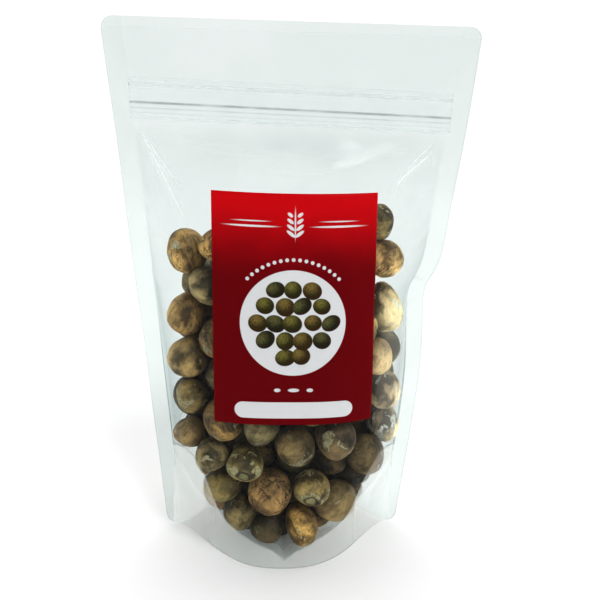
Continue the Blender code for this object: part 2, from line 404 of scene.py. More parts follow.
# the seeded fill, and how all the nuts settle
nutFill = {
    "count": 110,
    "seed": 12,
    "sizeLow": 17.5 * mm,
    "sizeHigh": 22.5 * mm,
    "startBox": ((-46, 46), (-18, 22), (22, 175)),      # mm
    "maxPush": (4.0 * mm, 3.0 * mm, 2.0 * mm),      # a step, by the film, the base film and the top
    "weights": (0.12, 0.5, 1.0),    # how easily a nut is moved: seen, seen deeper in, and free
    "tones": (0.6, 1.25),
    "eyeShare": 0.2,                # how many of the nuts have a clear eye at the base
    "top": 166.0 * mm,
    "topRise": 12.0 * mm,            # the heap is this much higher behind the label
    "topFade": (16.0 * mm, 34.0 * mm),
    "topSlope": 0.42,               # and falls towards the back, out of the viewer's sight
    "halfWidth": 57.5 * mm,
    "baseInset": 15.0 * mm,         # the heap narrows by this much towards the base corners
    "baseFade": (24.0 * mm, 80.0 * mm),
    "kinds": ("smooth", "streaked", "streaked", "veined", "mottled", "mottled", "peeled", "dark"),
    "steps": 520,
    "settleSteps": 260,
    "fall": 0.22 * mm,              # a free nut's drop in one step
    "gather": 0.999,                # and its pull towards the middle plane
    "hold": (0.10, 0.03),           # share of its drift that a seen nut makes up, falling and settling
    "parting": 0.55,                # how much of an overlap one step takes away
    "sink": 0.96,                   # how far a nut stands on the base film, as a share of its reach
    "deepShade": 0.55,              # how much darker the nuts in the middle of the heap are
    "deepFrom": (1.5 * mm, 10.0 * mm),
    "creviceShade": 0.90,           # and the skin beside another nut
    "creviceReach": 3.0 * mm,
    "creviceFar": 32.0 * mm,
}


def turnTo(axis, spin):
    # turns whose third column is the axis, with a spin about it
    helper = np.where(np.abs(axis[:, 2:3]) < 0.9, [[0.0, 0.0, 1.0]], [[1.0, 0.0, 0.0]])
    side = np.cross(helper, axis)
    side /= np.linalg.norm(side, axis=1, keepdims=True)
    other = np.cross(axis, side)
    cosine, sine = np.cos(spin)[:, None], np.sin(spin)[:, None]
    return np.stack([side * cosine + other * sine, other * cosine - side * sine, axis], axis=2)


def filmDistance(places):
    # signed distance to the film, below zero inside, and its outward direction
    step, wall = 0.25 * mm, 0.4 * mm

    def level(p):
        return np.abs(p[:, 1] + lean(p[:, 2])) - (plainReach(p[:, 0], p[:, 2]) - wall)

    slope = [level(places + step * axis) - level(places - step * axis) for axis in np.eye(3)]
    slope = np.stack(slope, axis=1) / (2 * step)
    length = np.linalg.norm(slope, axis=1)
    return level(places) / length, slope / length[:, None]


def baseFilmDistance(places):
    # distance over the base film and its upward direction
    step = 0.5 * mm
    x, y, z = places.T
    slopeX = (baseFilmHeight(x + step, y) - baseFilmHeight(x - step, y)) / (2 * step)
    slopeY = (baseFilmHeight(x, y + step) - baseFilmHeight(x, y - step)) / (2 * step)
    upward = np.stack([-slopeX, -slopeY, np.ones_like(x)], axis=1)
    length = np.linalg.norm(upward, axis=1)
    return (z - baseFilmHeight(x, y)) / length, upward / length[:, None]


def placeSeenNuts():
    # each is moved along its line of sight until it touches the film from inside
    sight, right, below = cameraAxes()
    table = np.array([row[:5] for row in seenNuts], dtype=float)
    offset = (table[:, :2] - view["imageSize"] / 2) / view["focalPixels"]
    rays = sight + offset[:, :1] * right + offset[:, 1:] * below
    rays /= np.linalg.norm(rays, axis=1, keepdims=True)
    wanted = (table[:, 2] + table[:, 3]) / 4 * mm + table[:, 4] * mm
    start = np.array(view["place"])
    reach = np.linspace(0.22, 0.46, 481)    # tried distances from the camera
    places = start + rays * reach[-1]
    found = np.zeros(len(table), dtype=bool)
    for distance in reach:
        spot = start + rays * distance
        hit = (filmDistance(spot)[0] < -wanted) & ~found
        places[hit] = spot[hit]
        found |= hit
    return places, table


def reachAlong(turns, half, direction):
    # how far each ellipsoid reaches along its direction
    return np.sqrt(np.sum((np.einsum("nij,ni->nj", turns, direction) * half) ** 2, axis=1))


def makeNuts():
    # nuts as ellipsoids: the free ones fall, pairs that overlap push apart, walls push back
    draw = np.random.default_rng(nutFill["seed"])
    seen, table = placeSeenNuts()
    count, free = len(seen), nutFill["count"]
    leanAngle = np.radians([0.0 if row[6] is None else row[6] for row in seenNuts])
    faces = np.array([row[6] is None for row in seenNuts])
    axis = np.stack([np.sin(leanAngle), draw.uniform(-0.3, 0.3, count), np.cos(leanAngle)], axis=1)
    axis[faces] = [0.12, 0.93, 0.35]
    axis = np.concatenate([axis, draw.normal(size=(free, 3))])
    axis /= np.linalg.norm(axis, axis=1, keepdims=True)
    turns = turnTo(axis, draw.uniform(0, 2 * math.pi, count + free))
    half = np.stack([table[:, 2], (table[:, 2] + table[:, 3]) / 2, table[:, 3]], axis=1) / 2 * mm
    half[faces] = half[faces][:, [0, 2, 1]]
    freeSize = draw.uniform(nutFill["sizeLow"], nutFill["sizeHigh"], (free, 1)) / 2
    half = np.concatenate([half, freeSize * draw.uniform(0.93, 1.08, (free, 3))])
    start = np.stack([draw.uniform(low, high, free) for low, high in nutFill["startBox"]], axis=1) * mm
    places = np.concatenate([seen, start])
    seenWeight, deeperWeight, freeWeight = nutFill["weights"]
    weight = np.where(table[:, 4] > 2, deeperWeight, seenWeight)
    weight = np.concatenate([weight, np.full(free, freeWeight)])
    byFilm, byBase, byTop = nutFill["maxPush"]
    first, second = np.triu_indices(count + free, 1)
    reachSide = np.sqrt(np.sum((turns[:, 0, :] * half) ** 2, axis=1))
    reachUp = np.sqrt(np.sum((turns[:, 2, :] * half) ** 2, axis=1))
    for step in range(nutFill["steps"] + nutFill["settleSteps"]):
        settling = step >= nutFill["steps"]
        if not settling:
            places[count:, 2] -= nutFill["fall"]
            places[count:, 1] *= nutFill["gather"]
        places[:count] += (seen - places[:count]) * nutFill["hold"][settling]
        # push pairs apart along the line between them
        gap = places[second] - places[first]
        distance = np.linalg.norm(gap, axis=1) + 1e-9
        direction = gap / distance[:, None]
        reachFirst = reachAlong(turns[first], half[first], direction)
        reachSecond = reachAlong(turns[second], half[second], direction)
        overlap = np.clip(reachFirst + reachSecond - distance, 0.0, None)
        near = overlap > 0
        shareFirst = weight[first] / (weight[first] + weight[second])
        push = direction[near] * overlap[near, None] * nutFill["parting"]
        np.add.at(places, first[near], -push * shareFirst[near, None])
        np.add.at(places, second[near], push * (1 - shareFirst[near])[:, None])
        # keep inside the film and on the base film
        away, outward = filmDistance(places)
        excess = np.clip(away + reachAlong(turns, half, outward), 0.0, byFilm)
        places -= outward * excess[:, None]
        above, upward = baseFilmDistance(places)
        sunk = np.clip(reachAlong(turns, half, upward) * nutFill["sink"] - above, 0.0, byBase)
        places += upward * sunk[:, None]
        inset = nutFill["baseInset"] * (1.0 - smoothStep(*nutFill["baseFade"], places[:, 2]))
        inset[:count] = 0.0
        wall = nutFill["halfWidth"] - inset - reachSide
        places[:, 0] = np.clip(places[:, 0], -wall, wall)
        hidden = 1.0 - smoothStep(*nutFill["topFade"], np.abs(places[count:, 0]))
        ceiling = nutFill["top"] + nutFill["topRise"] * hidden - nutFill["topSlope"] * places[count:, 1]
        places[count:, 2] -= np.clip(places[count:, 2] + reachUp[count:] - ceiling, 0.0, byTop)
    print("nuts settled", count + free)
    kinds = [row[5] for row in seenNuts] + list(draw.choice(nutFill["kinds"], free))
    tones = np.array([row[7] for row in seenNuts] + list(draw.uniform(*nutFill["tones"], free)))
    eyes = np.concatenate([faces, np.zeros(free, dtype=bool)])
    return places, half, turns, np.array(kinds), tones, eyes


nutPlaces, nutHalf, nutTurns, nutKinds, nutTones, nutEyes = makeNuts()

nutShape = {
    "around": 44,
    "along": 32,
    "narrowing": (0.00, 0.20),      # how much narrower a nut gets towards its tip
    "baseFlat": 0.80,               # power that flattens the base end
    "baseShort": 0.93,
    # lowest and highest pitch, height and number of the sines
    "lumps": (1.6, 3.4, 0.030, 5),
    "waves": (7.0, 13.0, 0.007, 7),
    "eyeDepth": 0.07,
    "eyeAngle": 0.26,
}


def nutForm(draw):
    # one nut of unit size: a blunt egg, flat at its base, lumps as a sum of sines over the sphere
    along = np.linspace(0.0, math.pi, nutShape["along"])[1:-1]
    around = np.linspace(0.0, 2 * math.pi, nutShape["around"], endpoint=False)
    a, b = np.meshgrid(along, around, indexing="ij")
    unit = np.stack([np.sin(a) * np.cos(b), np.sin(a) * np.sin(b), np.cos(a)], axis=-1).reshape(-1, 3)
    unit = np.concatenate([unit, [[0, 0, 1], [0, 0, -1]]])
    lumps = np.zeros(len(unit))
    for low, high, strength, number in (nutShape["lumps"], nutShape["waves"]):
        for _ in range(number):
            wave = draw.normal(size=3)
            wave *= draw.uniform(low, high) / np.linalg.norm(wave)
            lumps += strength * draw.uniform(0.4, 1.0) * np.sin(unit @ wave + draw.uniform(0, 2 * math.pi))
    up = unit[:, 2]
    flat = np.where(up < 0, -np.abs(up) ** nutShape["baseFlat"] * nutShape["baseShort"], up)
    wide = 1.0 - draw.uniform(*nutShape["narrowing"]) * (up + 0.2) * np.where(up > -0.2, 1.0, 0.5)
    shape = np.stack([unit[:, 0] * wide, unit[:, 1] * wide, flat], axis=1) * (1.0 + lumps)[:, None]
    fromBase = np.arccos(np.clip(-up, -1, 1))
    shape[:, 2] += nutShape["eyeDepth"] * np.exp(-(fromBase / nutShape["eyeAngle"]) ** 2)
    return unit, shape / np.percentile(np.linalg.norm(shape, axis=1), 88)


def nutFaceLists(first):
    # rings of four-sided faces, closed by a fan at the tip and one at the base
    rings, around = nutShape["along"] - 2, nutShape["around"]
    quads = gridFaces(rings, around, wrapColumns=True, first=first)[:, ::-1]
    tip, base = first + rings * around, first + rings * around + 1
    ring = np.arange(around)
    nextOne = (ring + 1) % around
    last = first + (rings - 1) * around
    fans = [(tip, first + r, first + n) for r, n in zip(ring, nextOne)]
    fans += [(base, last + n, last + r) for r, n in zip(ring, nextOne)]
    return quads, fans


# nut finishes
nutLooks = {
    # dark, middle and light colour, then shares of veins, streaks, mottling, flakes and relief
    "smooth": ((0.0231, 0.0143, 0.00557), (0.0938, 0.0631, 0.0231), (0.81, 0.539, 0.206),
               0.15, 0.35, 0.35, 0.2, 0.4),
    "streaked": ((0.0244, 0.0116, 0.00317), (0.132, 0.0701, 0.0187), (1.01, 0.617, 0.192),
                 0.2, 0.9, 0.35, 0.25, 0.6),
    "veined": ((0.0121, 0.00569, 0.00178), (0.118, 0.0609, 0.017), (0.849, 0.502, 0.152),
               1.0, 0.4, 0.4, 0.2, 1.0),
    "mottled": ((0.00945, 0.00696, 0.00238), (0.0789, 0.0588, 0.0198), (0.685, 0.519, 0.206),
                0.35, 0.3, 1.0, 0.7, 0.7),
    "peeled": ((0.0108, 0.00723, 0.00258), (0.0789, 0.0539, 0.0177), (0.606, 0.424, 0.161),
               0.4, 0.3, 0.6, 1.0, 0.9),
    "dark": ((0.00487, 0.0031, 0.00139), (0.0398, 0.0252, 0.00984), (0.383, 0.25, 0.108),
             0.3, 0.4, 0.5, 0.3, 0.5),
}
nutSkin = {
    "warp": (0.6, 0.6, 0.6),
    "fibreStretch": (6.5, 6.5, 0.8),
    "veinScale": 5.0,
    "speckScale": 11.0,
    "flakeScale": 1.15,
    "flake": (0.60, 0.53, 0.32),
    "flakeSpeck": (0.24, 0.20, 0.10),
    "eye": (0.33, 0.29, 0.15),
    "eyeRing": (0.025, 0.02, 0.015),
    "relief": 0.35 * mm,
}


def nutMaterial(kind):
    # every pattern reads the place on the nut's skin, kept as a point attribute
    dark, mid, light, veined, streaked, mottled, flaked, rough = nutLooks[kind]
    material = newTree(bpy.data.materials.new("nut_" + kind))
    spot = carried("skinPattern", "Vector")
    up = split(carried("skinPlace", "Vector"))["Z"]
    tint, hasEye = carried("skinTintLightAndShade", "Color"), carried("skinTintLightAndShade", "Alpha")
    warp = addNode("TexNoise", Vector=spot, Scale=2.4, Detail=3.0)
    warped = vector("MULTIPLY_ADD", warp.outputs["Color"], nutSkin["warp"], spot)
    tone = noise(warped, 0.9, 3.0)
    body = blendColour(rise(tone, 0.34, 0.62), mid, light)

    def lay(mask, strength, ink=dark):
        nonlocal body
        body = blendColour(times(mask, strength), body, ink)

    lay(rise(noise(warped, 1.6, 2.0), 0.44, 0.74), 0.15 + 0.45 * mottled)
    # fibres that run from base to tip
    fibre = noise(stretch(warped, nutSkin["fibreStretch"]), 1.0, 4.0, 0.68)
    lay(rise(fibre, 0.46, 0.64), 0.75 * streaked)
    # a net of fine veins, worn away in places
    cells = addNode("TexVoronoi", {"feature": "DISTANCE_TO_EDGE"}, Scale=nutSkin["veinScale"],
                    Vector=stretch(warped, (1.0, 1.0, 0.4))).outputs["Distance"]
    worn = rise(noise(spot, 2.0, 2.0), 0.38, 0.54)
    veins = times(rise(cells, 0.02, 0.12, veined, 0.0), worn)
    lay(veins, 0.85)
    # the tip darker than the base
    lay(rise(scaled(tone, 0.8, up), 0.2, 1.3), 0.45)
    # fine dark specks
    speck = noise(warped, nutSkin["speckScale"], 4.0, 0.65)
    lay(rise(speck, 0.56, 0.70), 0.55 * mottled)
    # pale skin left on in flakes, with a torn edge
    flake = noise(spot, nutSkin["flakeScale"], 7.0, 0.55, 0.6)
    flakeEdge = 0.64 - 0.08 * flaked
    flakes = rise(flake, flakeEdge, flakeEdge + 0.018)
    flakeInk = blendColour(rise(speck, 0.35, 0.65), nutSkin["flake"], nutSkin["flakeSpeck"])
    lay(flakes, 1.0, flakeInk)
    # the eye at the base: a pale round with a dark ring
    height = scaled(warp.outputs["Fac"], 0.10, up)
    ring = times(rise(height, -0.93, -0.89), within(height, -0.89, -0.83))
    ring = times(ring, scaled(hasEye, 0.85, 0.15))
    centre = times(within(height, -0.95, -0.90), scaled(hasEye, 0.7, 0.3))
    lay(centre, 0.8, nutSkin["eye"])
    lay(ring, 0.9, nutSkin["eyeRing"])
    # the tint multiplies in each nut's tone and hue, with painted shade in crevices and deep in the heap, and
    # painted light on the bright right-hand nuts
    body = blendColour(1.0, body, tint, "MULTIPLY")
    # relief
    depth = times(veins, -0.9)
    for share, strength in ((fibre, 0.5 * streaked + 0.1), (speck, 0.5), (flakes, 1.6), (ring, -1.5)):
        depth = scaled(share, strength, depth)
    bump = addNode("Bump", Strength=rough, Distance=nutSkin["relief"], Height=depth)
    showSurface(addNode("BsdfPrincipled", Base_Color=body, Normal=bump.outputs[0], Specular_IOR_Level=0.35,
                        Roughness=rise(speck, 0.3, 0.7, 0.48, 0.68)))
    return material


def paintedCreviceShade(points, index):
    # painted shade: 1 on open skin, falling towards 0 where another nut lies close
    apart = np.linalg.norm(nutPlaces - nutPlaces[index], axis=1)
    shade = np.zeros(len(points))
    for other in np.flatnonzero((apart > 0) & (apart < nutFill["creviceFar"])):
        gap = np.linalg.norm(points - nutPlaces[other], axis=1) - float(np.mean(nutHalf[other]))
        shade += np.exp(-np.clip(gap, 0.0, None) / nutFill["creviceReach"])
    return np.exp(-nutFill["creviceShade"] * shade)


def makeNutPieces():
    # all nuts of one finish are one piece
    draw = np.random.default_rng(nutFill["seed"] + 1)
    # painted shade: nuts lying deeper behind the film are darker
    depth = -filmDistance(nutPlaces)[0] - np.mean(nutHalf, axis=1)
    tones = nutTones * (1.0 - nutFill["deepShade"] * smoothStep(*nutFill["deepFrom"], depth))
    hasEye = nutEyes | (draw.uniform(size=len(nutPlaces)) < nutFill["eyeShare"])
    for kind in nutLooks:
        points, quads, fans, places, patterns, tintsLightAndShade = [], [], [], [], [], []
        first = 0
        for index in np.flatnonzero(nutKinds == kind):
            unit, shape = nutForm(draw)
            local = shape * nutHalf[index]
            points.append(local @ nutTurns[index].T + nutPlaces[index])
            ringQuads, ringFans = nutFaceLists(first)
            quads.append(ringQuads)
            fans += ringFans
            places.append(unit)
            patterns.append(unit + draw.uniform(-20, 20, 3))
            # painted light: the brightest nuts, on the right, are also paler and creamier
            paintedLightPaler = np.clip(nutTones[index] - 1.4, 0.0, 1.0)       # bright nuts are creamier
            green, blue = draw.uniform(0.95, 1.05), draw.uniform(0.85, 1.12)
            hue = np.array([1.0, green + 0.16 * paintedLightPaler, blue + 0.75 * paintedLightPaler])
            # each point's tint is the nut's tone and hue times painted shade where another nut lies close;
            # its fourth value says whether the nut shows its eye
            tint = tones[index] * paintedCreviceShade(points[-1], index)[:, None] * hue
            tintsLightAndShade.append(np.concatenate([tint, np.full((len(unit), 1), float(hasEye[index]))], axis=1))
            first += len(unit)
        piece = meshObject("betel_nuts_" + kind, np.concatenate(points), np.concatenate(quads), fans)
        pointValues(piece, "skinPlace", np.concatenate(places))
        pointValues(piece, "skinPattern", np.concatenate(patterns))
        pointValues(piece, "skinTintLightAndShade", np.concatenate(tintsLightAndShade))
        dress(piece, nutMaterial(kind), "pouch")
    print("nuts made", len(nutPlaces))


makeNutPieces()

# film
film = {
    "sealColumns": 9,
    "bellyColumns": 132,
    "rowStep": 1.15 * mm,
    "zipRowStep": 0.45 * mm,
    "nutBump": 1.0 * mm,
    "nutBumpReach": 3.5 * mm,       # a nut this far behind the film no longer shows
    "ripple": 0.16 * mm,
    "rippleEnd": (206.0 * mm, 215.0 * mm),
    "sealFade": 7.0 * mm,           # the nuts' bumps die out this near a side seal
    "topWave": (1.1 * mm, 31.0 * mm),        # height, and length for each radian
    "sealWave": (0.6 * mm, 13.0 * mm),
    "buckleBend": (2.6 * mm, 9.0 * mm),
    "zipRows": (212.0 * mm, 233.0 * mm),
    "tiltIn": (188.0 * mm, 208.0 * mm),      # rows start to follow the zip's slope
    "tiltOut": (236.0 * mm, 251.0 * mm),
    "zipHeight": 221.5 * mm,
    "zipRidge": 1.3 * mm,
    "zipProud": 0.35 * mm,
    "guideHeight": 229.0 * mm,
    "guideRidge": 0.8 * mm,
    "guideProud": 0.2 * mm,
    "zipTilt": 0.026,
    "baseColumnsUp": 26,
    "baseColumnsAcross": 34,
    "weldGap": 0.22 * mm,           # between the pouch wall and the base film
    "weldRaise": 0.15 * mm,
    "crumple": 0.8 * mm,
}
# creases: points as (x, z) in mm, then height and half width in mm, and how white the line is
frontCreases = [
    ([(-68, 215), (-62, 203.5), (-58, 196), (-54, 188.5), (-50, 180.5), (-45, 171)], 0.35, 3.6, 1.0),
    ([(64, 206), (57, 200), (52.5, 197), (48, 193), (44, 187)], 0.35, 3.4, 1.0),
    ([(62, 206.5), (63.5, 202), (64, 196)], 0.3, 1.6, 0.5),
    ([(-64, 212.5), (-49, 209), (-38, 207), (-27, 205.8), (-20, 206)], 0.35, 3.6, 0.42),
    ([(-20, 206), (-13, 201.5), (-7.5, 197.8), (-1, 196.5), (8, 197), (21, 199), (34, 202.5), (48, 205.5),
      (60, 206.5)], 0.45, 4.0, 0.45),
    ([(-20, 207), (-21.5, 200), (-24, 193)], 0.6, 3.4, 0.28),
    ([(-63, 200), (-62, 190), (-59, 180)], 0.5, 3.0, 0.25),
    ([(46, 196), (52, 189), (60, 187), (66, 188)], 0.45, 2.4, 0.35),
    ([(46, 193), (47, 184), (50, 176)], 0.4, 2.2, 0.3),
    ([(62, 187), (57, 179), (54, 172)], 0.4, 2.0, 0.3),
    ([(70, 172), (63, 166), (56, 160)], 0.5, 2.0, 0.2),
    ([(66, 142), (58, 147), (52, 154)], 0.7, 2.2, 0.3),
    ([(66, 136), (59, 131), (54, 124)], 0.6, 2.2, 0.3),
    ([(56, 127), (54.5, 121), (55, 114)], 0.6, 1.2, 0.6),
    ([(59, 124), (58, 117), (56.5, 111)], 0.6, 1.2, 0.6),
    ([(-70, 186), (-64, 176), (-61, 160)], 0.5, 2.6, 0.2),
    ([(-66, 150), (-60, 140), (-58, 120)], 0.5, 2.6, 0.2),
]
backCreases = [
    ([(-66, 211), (-58, 197), (-50, 183)], 0.55, 2.4, 0.8),
    ([(66, 211), (56, 199), (49, 186)], 0.55, 2.4, 0.8),
    ([(-58, 206), (-30, 199), (0, 201), (28, 197), (58, 206)], 0.6, 3.0, 0.3),
    ([(66, 141), (56, 148), (48, 156)], 0.6, 2.2, 0.3),
    ([(-68, 170), (-58, 158), (-52, 148)], 0.5, 2.2, 0.3),
]


def nearestOnLine(x, z, line):
    # signed distance to a broken line, and the share of its length where it is nearest
    line = np.array(line, dtype=float) * mm
    ends = np.concatenate([[0.0], np.cumsum(np.linalg.norm(np.diff(line, axis=0), axis=1))])
    nearest = np.full(x.shape, np.inf)
    along, side = np.zeros_like(x), np.zeros_like(x)
    for start, end, before, after in zip(line, line[1:], ends, ends[1:]):
        run = end - start
        offsetX, offsetZ = x - start[0], z - start[1]
        share = np.clip((offsetX * run[0] + offsetZ * run[1]) / (run @ run), 0.0, 1.0)
        away = np.hypot(offsetX - share * run[0], offsetZ - share * run[1])
        closer = away < nearest
        nearest = np.where(closer, away, nearest)
        along = np.where(closer, before + share * (after - before), along)
        side = np.where(closer, np.sign(offsetX * run[1] - offsetZ * run[0]), side)
    return nearest * side, along / ends[-1]


def creaseField(x, z, creases):
    # relief as round ridges tapered at both ends, the signed distance to the nearest line and its whiteness
    relief, white = np.zeros_like(x), np.zeros_like(x)
    nearest = np.full(x.shape, np.inf)
    for line, height, halfWidth, shine in creases:
        away, along = nearestOnLine(x, z, line)
        taper = np.sin(np.pi * along) ** 0.5
        relief = np.maximum(relief, height * mm * taper * np.exp(-(away / (halfWidth * mm)) ** 2))
        closer = np.abs(away) < np.abs(nearest)
        strength = shine * taper * (1.0 - smoothStep(2.0 * mm, 3.5 * mm, np.abs(away)))
        white = np.where(closer, strength, white)
        nearest = np.where(closer, away, nearest)
    return relief, nearest, white


def nutRelief(x, z, facing):
    # the film rides over each nut that lies close behind it
    away = filmDistance(nutPlaces)[0]
    relief = np.zeros_like(x)
    for index in np.flatnonzero(nutPlaces[:, 1] * facing > 0):
        half = float(np.mean(nutHalf[index]))
        near = 1.0 - np.clip((-away[index] - half) / film["nutBumpReach"], 0.0, 1.0)
        if near <= 0:
            continue
        apart = ((x - nutPlaces[index, 0]) ** 2 + (z - nutPlaces[index, 2]) ** 2) / half ** 2
        relief = np.maximum(relief, film["nutBump"] * near * np.clip(1.0 - apart, 0.0, 1.0) ** 1.2)
    return relief


def ripples(x, z, seed):
    # long soft waves with no pattern that repeats
    draw = np.random.default_rng(seed)
    total = np.zeros_like(x)
    for _ in range(14):
        angle, length = draw.uniform(0, 2 * math.pi), draw.uniform(9, 34) * mm
        along = x * math.cos(angle) + z * math.sin(angle)
        total += np.sin(along * 2 * math.pi / length + draw.uniform(0, 6.3))
    return total / 14 ** 0.5


def sheetBend(x, z):
    # the empty top and the side seals wave a little as one sheet, and the right side buckles
    (topHigh, topLong), (sealHigh, sealLong) = film["topWave"], film["sealWave"]
    bendHigh, bendLong = film["buckleBend"]
    top = smoothStep(215 * mm, 255 * mm, z) * topHigh * np.sin(x / topLong + 0.7)
    seals = smoothStep(52 * mm, 72 * mm, np.abs(x)) * sealHigh * np.sin(z / sealLong + np.sign(x))
    buckle = bendHigh * np.exp(-((z - pouch["buckle"][0]) / bendLong) ** 2) * smoothStep(50 * mm, 68 * mm, x)
    return top + seals * smoothStep(20 * mm, 60 * mm, z) + buckle


labelFrame = {
    "centreX": 2.0 * mm,
    "chord": 73.0 * mm,
    "low": 84.6 * mm,
    "high": 188.4 * mm,
    "turn": 0.012,
    "flatWidth": 74.0,              # mm, for the print
    "flatHeight": 105.0,
}


def besideLabel(x, z):
    # distance outside the label, below zero on it
    across = np.abs(x - labelFrame["centreX"]) - labelFrame["chord"] / 2
    return np.maximum(across, np.maximum(labelFrame["low"] - z, z - labelFrame["high"]))


def ridgeAt(level, height, half, proud):
    # a flat-topped ridge along the sheet
    return proud * (1.0 - smoothStep(half, half + 0.8 * mm, np.abs(level - height)))


def filmReach(x, z, facing):
    # distance of the real film from the middle plane, with bumps, creases and zip
    edge = sealEdge(z, x >= 0)
    fromSeal = edge - np.abs(x)
    inside = smoothStep(0.0, film["sealFade"], fromSeal)
    bumps = nutRelief(x, z, facing)
    waves = film["ripple"] * ripples(x, z, 5 + int(facing)) * inside
    waves = waves * (1.0 - smoothStep(*film["rippleEnd"], z))
    creases = creaseField(x, z, frontCreases if facing < 0 else backCreases)[0]
    creases = creases * smoothStep(0.0, 3 * mm, fromSeal + 2 * mm)
    if facing < 0:
        # the film lies smooth under the label
        clear = besideLabel(x, z)
        bumps = bumps * smoothStep(2 * mm, 9 * mm, clear)
        waves = waves * smoothStep(0.0, 6 * mm, clear)
        creases = creases * smoothStep(0.0, 3 * mm, clear)
    level = z + film["zipTilt"] * x
    ridges = ridgeAt(level, film["zipHeight"], film["zipRidge"], film["zipProud"])
    ridges += ridgeAt(level, film["guideHeight"], film["guideRidge"], film["guideProud"])
    return plainReach(x, z) + bumps * inside + waves + creases + ridges * smoothStep(0.0, 3 * mm, fromSeal)


def filmRows():
    # even heights, closer over the zip, then the sines of a quarter turn round the top corners
    zipLow, zipHigh = film["zipRows"]
    low = np.arange(0.0, zipLow, film["rowStep"])
    zipRows = np.arange(zipLow, zipHigh, film["zipRowStep"])
    high = np.arange(zipHigh, pouch["height"] - pouch["topCorner"], film["rowStep"])
    corner = pouch["height"] - pouch["topCorner"] * (1.0 - np.sin(np.linspace(0, math.pi / 2, 9)))
    return np.concatenate([low, zipRows, high, corner])


def acrossSheet(z):
    # x of every column at the heights z, as (rows, columns)
    z = np.asarray(z)[:, None]
    turn = np.linspace(-1.0, 1.0, film["bellyColumns"] + 1)
    belly = 0.6 * turn + 0.4 * np.sin(turn * math.pi / 2)
    x = belly * sealEdge(z, belly >= 0)
    share = np.linspace(1.0, 0.0, film["sealColumns"] + 1)[:-1]
    seals = [sealEdge(z, side) + (sideEdge(z, side) - sealEdge(z, side)) * share for side in (0, 1)]
    return np.concatenate([-seals[0], x, seals[1][:, ::-1]], axis=1)


def liftCorners(x, z):
    # the base corners stand a little off the table
    share = smoothStep(pouch["rimLevelHalf"], pouch["baseHalfWidth"], np.abs(x))
    return pouch["cornerLift"] * share * (1.0 - smoothStep(0.0, 45 * mm, z))


def sheetPoints(x, z, facing, inward=0.0, raised=0.0):
    # the front or the back film, carried out from the middle plane, which leans and waves
    y = facing * filmReach(x, z, facing) - lean(z) + sheetBend(x, z) - facing * inward
    return np.stack([x, y, z + liftCorners(x, z) + raised], axis=-1)


def makeFilm():
    # one closed wall: front up, back down, then the base film from back to front
    rows = filmRows()
    x = acrossSheet(rows)
    z = np.repeat(rows[:, None], x.shape[1], axis=1)
    # rows near the zip follow its slope, so its ridges run along them
    nearZip = smoothStep(*film["tiltIn"], z) * (1.0 - smoothStep(*film["tiltOut"], z))
    z = z - film["zipTilt"] * x * nearZip
    front = sheetPoints(x, z, -1.0)
    back = sheetPoints(x, z, 1.0)[::-1]
    # the base film: up inside the back, across, and down inside the front
    baseX = x[0]
    top = baseSealHeight(baseX)
    up = np.linspace(0.0, 1.0, film["baseColumnsUp"] + 1)[1:, None] * top
    baseAcross = np.repeat(baseX[None, :], len(up), axis=0)
    backUp = sheetPoints(baseAcross, up, 1.0, film["weldGap"], film["weldRaise"])
    frontUp = sheetPoints(baseAcross, up, -1.0, film["weldGap"], film["weldRaise"])
    share = np.linspace(0.0, 1.0, film["baseColumnsAcross"] + 2)[1:-1, None]
    spanY = backUp[-1, :, 1] * (1 - share) + frontUp[-1, :, 1] * share
    spanX = np.repeat(baseX[None, :], len(share), axis=0)
    crumple = film["crumple"] * ripples(spanX * 2.2, spanY * 2.2, 31) * np.sin(share * math.pi)
    spanZ = baseFilmHeight(spanX, spanY) + liftCorners(spanX, spanX * 0) + crumple
    span = np.stack([spanX, spanY, np.minimum(spanZ, np.maximum(top, 0.4 * mm))], axis=-1)
    loop = np.concatenate([front, back, backUp, span, frontUp[::-1]])
    count, columns = loop.shape[:2]
    quads = gridFaces(count, columns, wrapRows=True)
    # close both side edges: a strip between the films, and one face over the base film
    frontCount = len(rows)
    low = np.arange(frontCount - 1)
    across = 2 * frontCount - 1 - low
    strip = np.stack([low, low + 1, across - 1, across], axis=1) * columns
    ends = [strip[:, ::-1], strip + columns - 1]
    hatch = [index * columns for index in [0] + list(range(2 * frontCount - 1, count))]
    others = [tuple(hatch), tuple(index + columns - 1 for index in hatch[::-1])]
    piece = meshObject("pouch_film", loop, np.concatenate([quads] + ends), others)
    row = np.arange(count * columns) // columns
    spanFirst = 2 * frontCount + len(up)
    addHazeAndGlint(piece, loop.reshape(-1, 3), row < frontCount, (row >= spanFirst) & (row < spanFirst + len(share)))
    return piece


def addHazeAndGlint(piece, points, isFront, isSpan):
    # welded seals and the curved base seal scatter more light than the clear film; creases carry white lines
    # that are partly whitened film, partly painted highlight
    x, z = points[:, 0], points[:, 2]
    edge = sealEdge(z, x >= 0)
    ear = 1.0 - smoothStep(-0.8 * mm, 0.4 * mm, z - baseSealHeight(x))
    skirt = ear * (1.0 - smoothStep(34 * mm, 46 * mm, np.abs(x) + z * 0.1))
    skirt = np.where(isSpan, 0.7 * (1.0 - smoothStep(30 * mm, 45 * mm, np.abs(x))), skirt)
    onFront, onBack = creaseField(x, z, frontCreases), creaseField(x, z, backCreases)
    white = np.where(isFront, onFront[2] * smoothStep(0.0, 2 * mm, besideLabel(x, z)), onBack[2])
    side = np.where(isFront, onFront[1], onBack[1])
    pointValues(piece, "sealHaze", smoothStep(-0.6 * mm, 0.4 * mm, np.abs(x) - edge))
    pointValues(piece, "earHaze", ear)
    pointValues(piece, "skirtHaze", skirt)
    pointValues(piece, "creaseWhiteAndGlint", white)
    pointValues(piece, "creaseSide", np.clip(side / mm, -4.0, 4.0))


